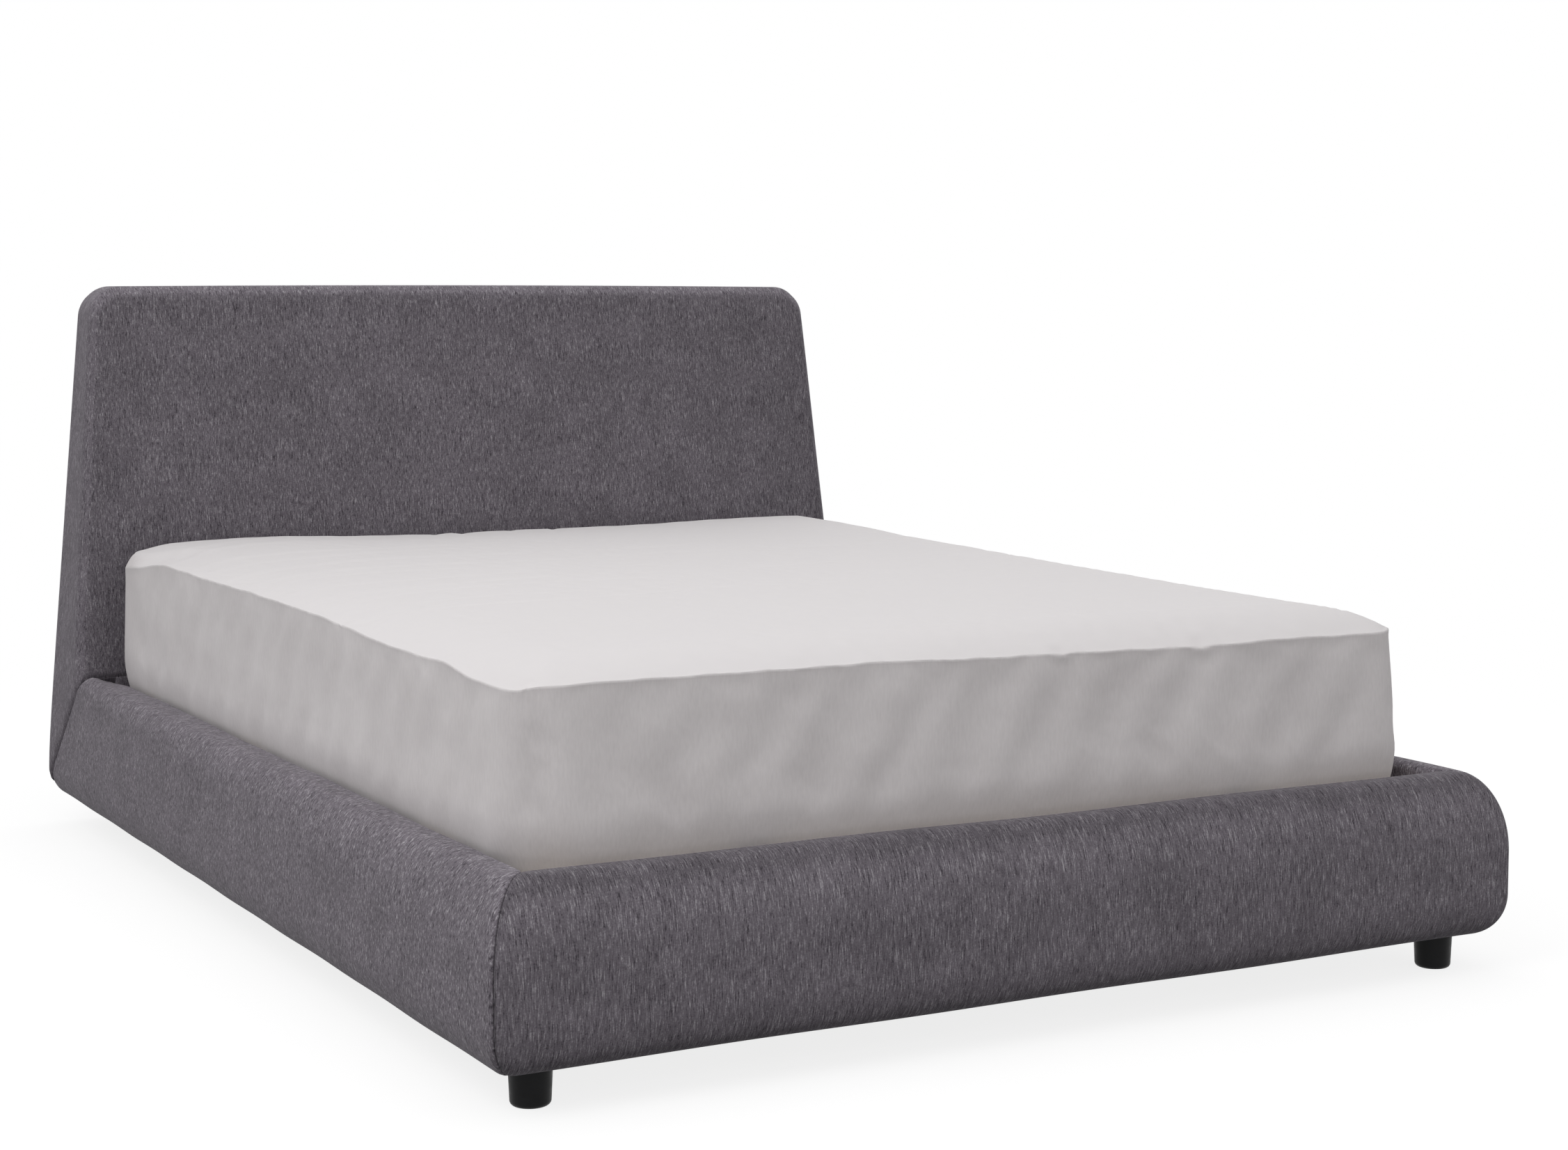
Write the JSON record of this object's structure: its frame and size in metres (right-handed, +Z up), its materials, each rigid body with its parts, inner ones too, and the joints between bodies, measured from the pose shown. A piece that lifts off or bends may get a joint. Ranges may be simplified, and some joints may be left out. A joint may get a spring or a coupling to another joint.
{
  "type": "upholstered bed",
  "caption": "Upholstered bed with a wedge headboard, bulging padded rails with mitred corners, round feet, a slatted deck on a centre beam, and a mattress in a fitted sheet.",
  "frame": {"origin": "on the floor under the middle of the bed's outline", "axes": "+Z up, +Y towards the headboard, +X across the bed to the right seen from the foot"},
  "size_m": [1.7454, 2.32, 1.077],
  "materials": {
    "cover_cloth": "matte",
    "foam": "matte",
    "lining": "matte",
    "ticking": "matte",
    "sheet": "matte",
    "webbing": "matte",
    "black_foot": "satin",
    "pad_plastic": "matte",
    "zinc_steel": "satin",
    "sheet_steel": "satin",
    "plywood": "matte",
    "pine": "matte"
  },
  "bodies": {
    "bed_frame": {"centre_beam": "pine", "corner_bracket_bolts": "zinc_steel", "foot_beam_hanger": "sheet_steel", "foot_hanger_bolts": "zinc_steel", "footboard_board": "plywood", "footboard_cover": "cover_cloth", "footboard_foam": "foam", "front_centre_leg": "pine", "front_corner_brackets": "sheet_steel", "front_left_corner_block": "pine", "front_left_foot": "black_foot", "front_right_corner_block": "pine", "front_right_foot": "black_foot", "head_beam_hanger": "sheet_steel", "headboard_back_lining": "lining", "headboard_back_rail": "pine", "headboard_bottom_rail": "pine", "headboard_cover": "cover_cloth", "headboard_front_foam": "foam", "headboard_front_panel": "plywood", "headboard_left_cheek_foam": "foam", "headboard_left_gusset": "plywood", "headboard_mid_rail": "pine", "headboard_right_cheek_foam": "foam", "headboard_right_gusset": "plywood", "headboard_top_foam": "foam", "headboard_top_rail": "pine", "left_rail_board": "plywood", "left_rail_cover": "cover_cloth", "left_rail_foam": "foam", "left_slat_ledger": "pine", "rail_bolts": "zinc_steel", "rear_centre_leg": "pine", "rear_left_corner_block": "pine", "rear_left_foot": "black_foot", "rear_right_corner_block": "pine", "rear_right_foot": "black_foot", "right_rail_board": "plywood", "right_rail_cover": "cover_cloth", "right_rail_foam": "foam", "right_slat_ledger": "pine", "slat_01": "pine", "slat_02": "pine", "slat_03": "pine", "slat_04": "pine", "slat_05": "pine", "slat_06": "pine", "slat_07": "pine", "slat_08": "pine", "slat_09": "pine", "slat_10": "pine", "slat_11": "pine", "slat_12": "pine", "slat_straps": "webbing"},
    "mattress": {"fitted_sheet": "sheet", "mattress": "ticking"},
    "front_leveller_pad": {"front_leveller_pad": "pad_plastic"},
    "front_leveller_stud": {"front_leveller_stud": "zinc_steel"},
    "rear_leveller_pad": {"rear_leveller_pad": "pad_plastic"},
    "rear_leveller_stud": {"rear_leveller_stud": "zinc_steel"}
  },
  "joints": [
    {"name": "mattress_lift", "type": "slide", "parent": "bed_frame", "child": "mattress", "axis": [0, 0, 1], "range_m": [0, 0.4]},
    {"name": "front_leveller_travel", "type": "slide", "parent": "bed_frame", "child": "front_leveller_pad", "axis": [0, 0, 1], "range_m": [-0.01, 0.005]},
    {"name": "front_leveller_turn", "type": "hinge", "parent": "front_leveller_pad", "child": "front_leveller_stud", "pos_m": [0, -0.37, 0], "axis": [0, 0, 1], "range_deg": [-2880.1, 1440.1]},
    {"name": "rear_leveller_travel", "type": "slide", "parent": "bed_frame", "child": "rear_leveller_pad", "axis": [0, 0, 1], "range_m": [-0.01, 0.005]},
    {"name": "rear_leveller_turn", "type": "hinge", "parent": "rear_leveller_pad", "child": "rear_leveller_stud", "pos_m": [0, 0.33, 0], "axis": [0, 0, 1], "range_deg": [-2880.1, 1440.1]}
  ],
  "couplings": [
    {"joint": "front_leveller_turn", "follows": "front_leveller_travel", "rad_per_m": 5026.5},
    {"joint": "rear_leveller_turn", "follows": "rear_leveller_travel", "rad_per_m": 5026.5}
  ]
}
